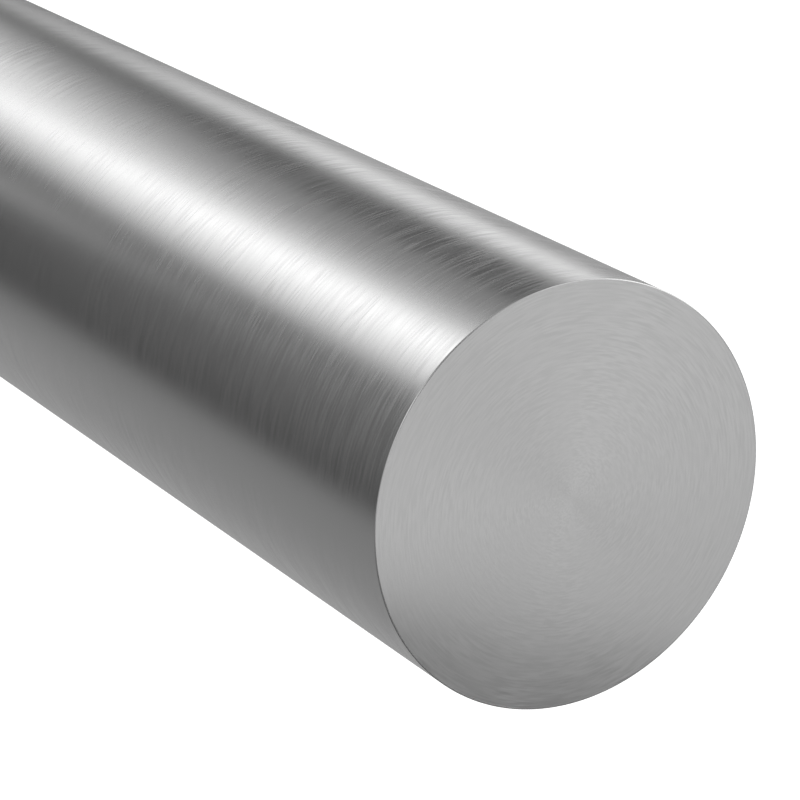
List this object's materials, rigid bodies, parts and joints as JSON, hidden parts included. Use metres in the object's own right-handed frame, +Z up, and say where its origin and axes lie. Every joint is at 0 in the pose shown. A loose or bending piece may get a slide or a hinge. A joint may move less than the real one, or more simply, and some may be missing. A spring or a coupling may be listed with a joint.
{
  "type": "round metal bar",
  "caption": "Solid round bar of bright ground metal, cut square at both ends, with finely broken edges. Raw stock for shafts, pins, rollers and turned parts.",
  "frame": {"origin": "on the floor, in the middle of the bar's bottom end", "axes": "+Z up along the bar's axis, towards the end that faces the viewer in the picture; the bar stands on its other end"},
  "size_m": [0.05, 0.05, 0.3],
  "materials": {
    "ground_steel": "satin, with fine grinding lines round the side and fine concentric facing lines on the ends"
  },
  "bodies": {
    "root": {"round_bar": "ground_steel"}
  },
  "joints": []
}
